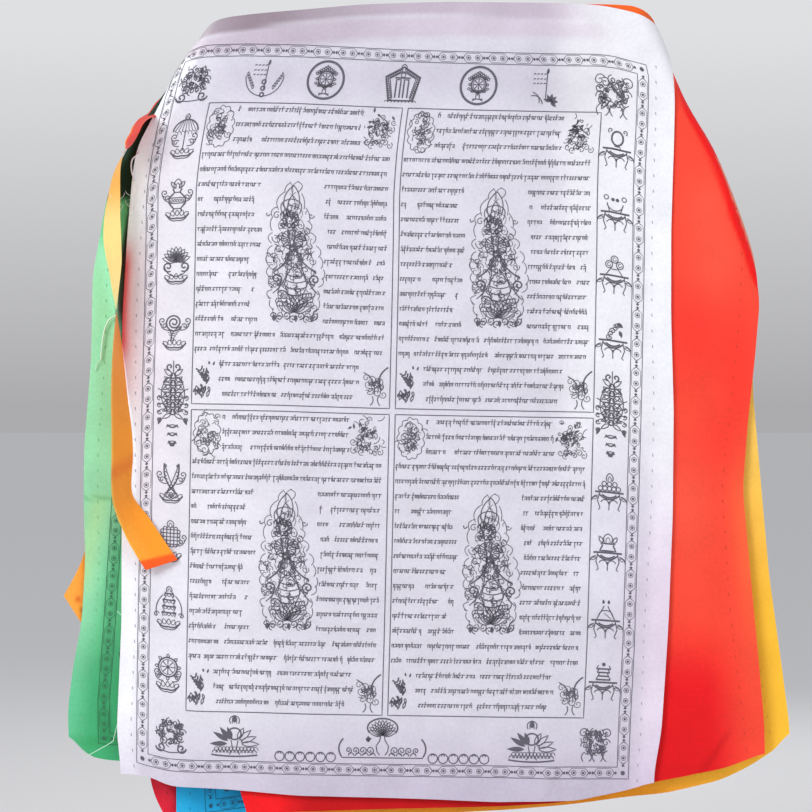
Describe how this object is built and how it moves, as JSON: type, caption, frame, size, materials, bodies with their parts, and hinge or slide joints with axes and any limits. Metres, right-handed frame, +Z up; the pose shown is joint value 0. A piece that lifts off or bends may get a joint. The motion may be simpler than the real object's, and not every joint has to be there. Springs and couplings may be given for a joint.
{
  "type": "prayer flag string",
  "caption": "Hanging bundle of large printed cotton flags, folded to and fro on a heading tape, with its upper corners turned back and the tape ends loose.",
  "frame": {"origin": "middle of the bundle's top edge, half way through the pressed stack of layers", "axes": "+X to the viewer's right, +Z up, the printed front of the first flag looks along -Y"},
  "size_m": [0.8218, 0.079, 0.952],
  "materials": {
    "white_cotton": "thin plain-weave cotton, matt, black block print",
    "red_cotton": "thin plain-weave cotton, matt, bright red dye",
    "green_cotton": "thin plain-weave cotton, matt, dark border print",
    "yellow_cotton": "thin plain-weave cotton, matt, warm yellow dye",
    "blue_cotton": "thin plain-weave cotton, matt, dark border print",
    "crimson_cotton": "thin plain-weave cotton, matt, deep red dye",
    "orange_tape": "narrow folded cotton tape, slightly glossy"
  },
  "bodies": {
    "root": {"flag_white": "white_cotton", "flag_red": "red_cotton", "flag_green": "green_cotton", "flag_yellow": "yellow_cotton", "flag_blue": "blue_cotton", "flag_crimson": "crimson_cotton", "heading_tape": "orange_tape"}
  },
  "joints": []
}
